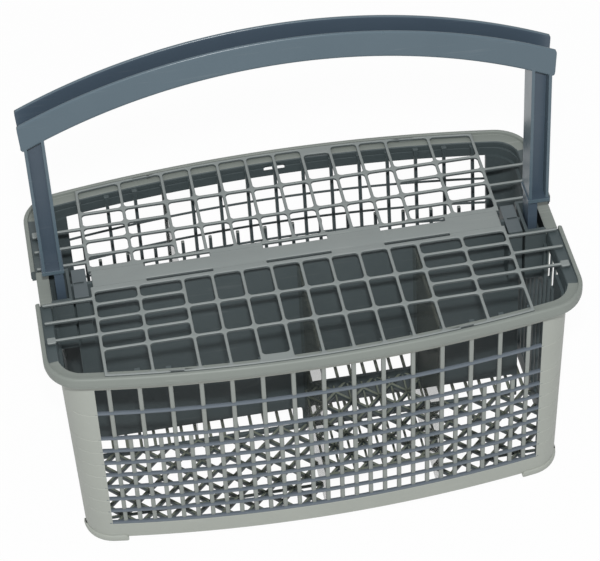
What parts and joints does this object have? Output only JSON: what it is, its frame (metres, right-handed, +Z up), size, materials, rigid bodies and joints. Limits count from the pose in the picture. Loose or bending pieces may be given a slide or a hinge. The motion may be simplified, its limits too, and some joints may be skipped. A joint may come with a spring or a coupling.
{
  "type": "dishwasher cutlery basket",
  "caption": "Moulded plastic cutlery basket with lattice walls, inner dividers, an arched carrying handle and a grid cover whose two flaps lift on film hinges along a central spine.",
  "frame": {"origin": "on the table under the middle of the basket, level with the soles of its feet", "axes": "+Z up, +X along the basket, +Y towards its rear long wall"},
  "size_m": [0.24, 0.144, 0.2405],
  "materials": {
    "basket_plastic": "fine satin moulded polypropylene, light warm grey",
    "cover_plastic": "fine satin moulded polypropylene, mid grey",
    "handle_plastic": "satin moulded plastic, dark blue grey"
  },
  "bodies": {
    "basket": {"basket": "basket_plastic", "handle": "handle_plastic", "cover_spine": "cover_plastic"},
    "front_flap": {"front_flap": "cover_plastic"},
    "rear_flap": {"rear_flap": "cover_plastic"}
  },
  "joints": [
    {"name": "front_flap_hinge", "type": "hinge", "parent": "basket", "child": "front_flap", "pos_m": [0, -0.00535, 0.118], "axis": [-1, 0, 0], "range_deg": [0, 75]},
    {"name": "rear_flap_hinge", "type": "hinge", "parent": "basket", "child": "rear_flap", "pos_m": [0, 0.00535, 0.118], "axis": [1, 0, 0], "range_deg": [0, 75]}
  ]
}
